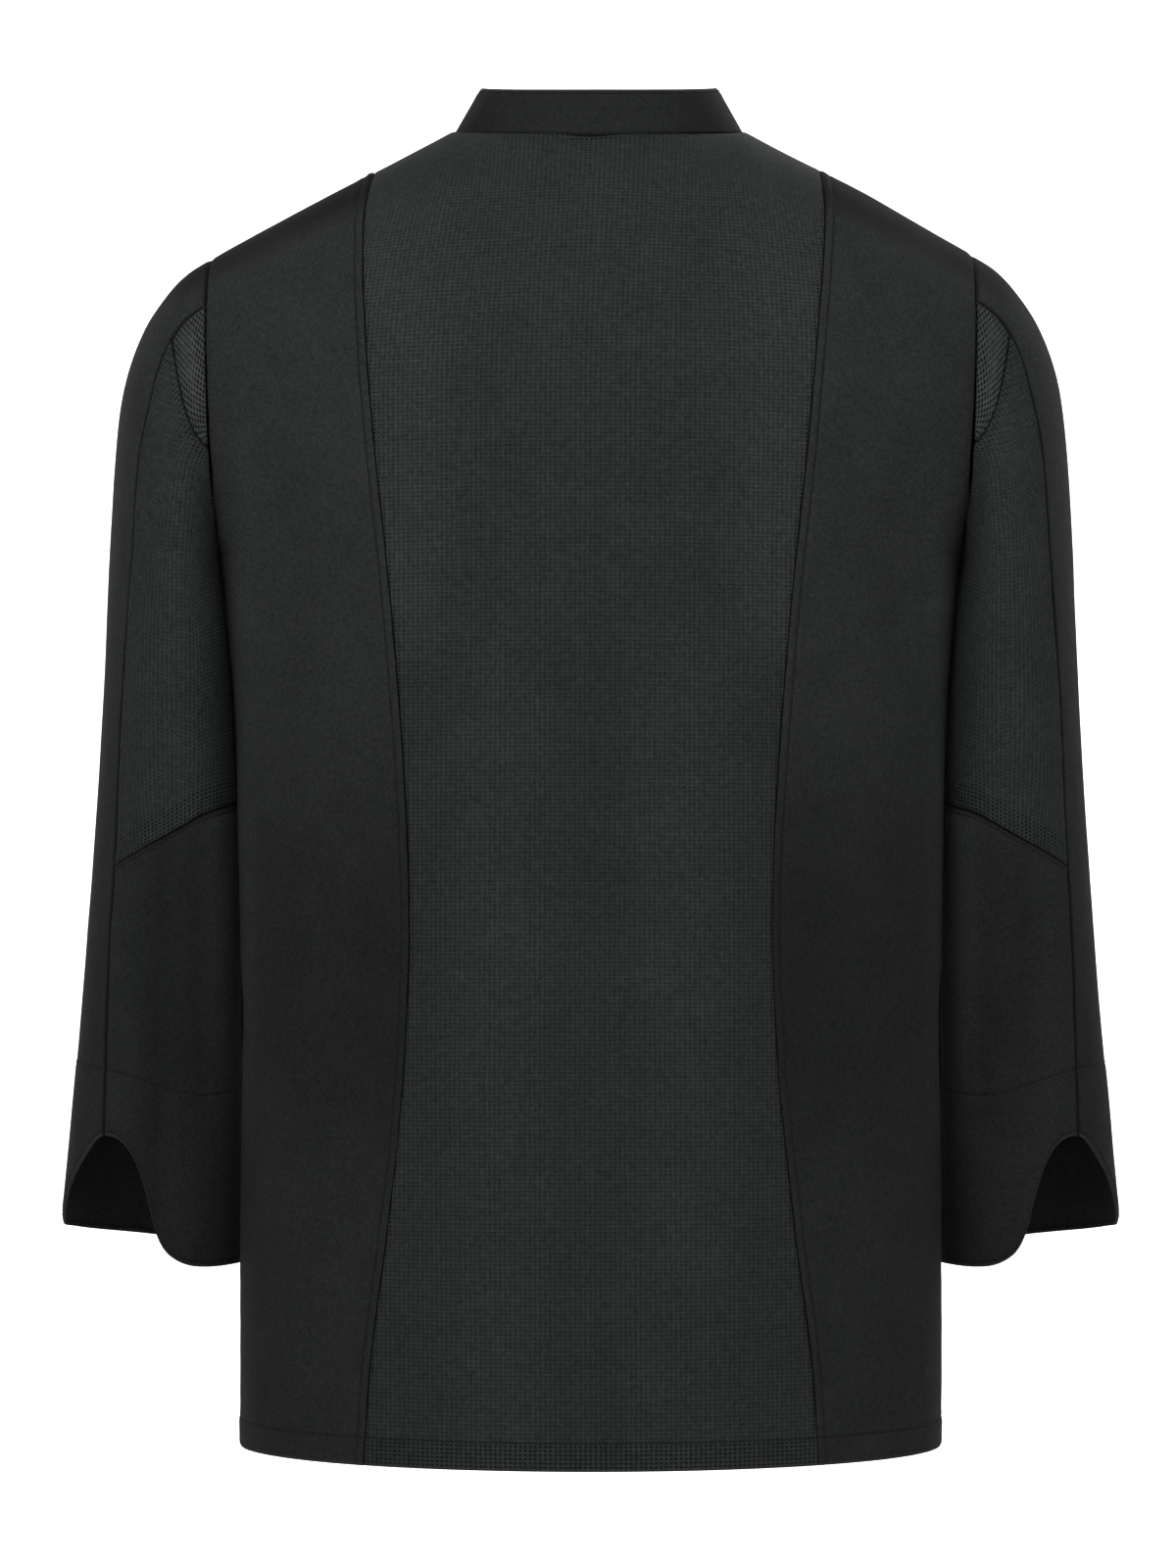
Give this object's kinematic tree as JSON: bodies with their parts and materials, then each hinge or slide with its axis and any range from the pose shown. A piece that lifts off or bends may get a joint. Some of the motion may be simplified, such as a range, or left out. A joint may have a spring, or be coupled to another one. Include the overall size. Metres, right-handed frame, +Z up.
{
  "type": "chef jacket",
  "caption": "Short-collared chef jacket, filled out with hanging sleeves, with a mesh back, notched cuffs and a buttoned front.",
  "frame": {"origin": "middle of the neck opening, at the height of the collar seam, where the wearer's shoulders hold the jacket", "axes": "+Z up the wearer's neck, +Y out of the wearer's back, +X to the wearer's left"},
  "size_m": [0.6022, 0.266, 0.7615],
  "materials": {
    "twill": "matt black twill",
    "mesh_cloth": "matt black cloth with fine rows of holes",
    "open_mesh": "matt black open mesh",
    "button_plastic": "satin black"
  },
  "bodies": {
    "root": {"back_center": "mesh_cloth", "back_side_left": "twill", "back_side_right": "twill", "front_left": "twill", "front_right": "twill", "collar": "twill", "sleeve_left_outer": "twill", "sleeve_left_upper_back": "mesh_cloth", "sleeve_left_lower_back": "twill", "sleeve_left_gusset": "open_mesh", "sleeve_right_outer": "twill", "sleeve_right_upper_back": "mesh_cloth", "sleeve_right_lower_back": "twill", "sleeve_right_gusset": "open_mesh", "button_1": "button_plastic", "button_2": "button_plastic", "button_3": "button_plastic", "button_4": "button_plastic", "button_5": "button_plastic", "button_6": "button_plastic", "button_7": "button_plastic"}
  },
  "joints": []
}
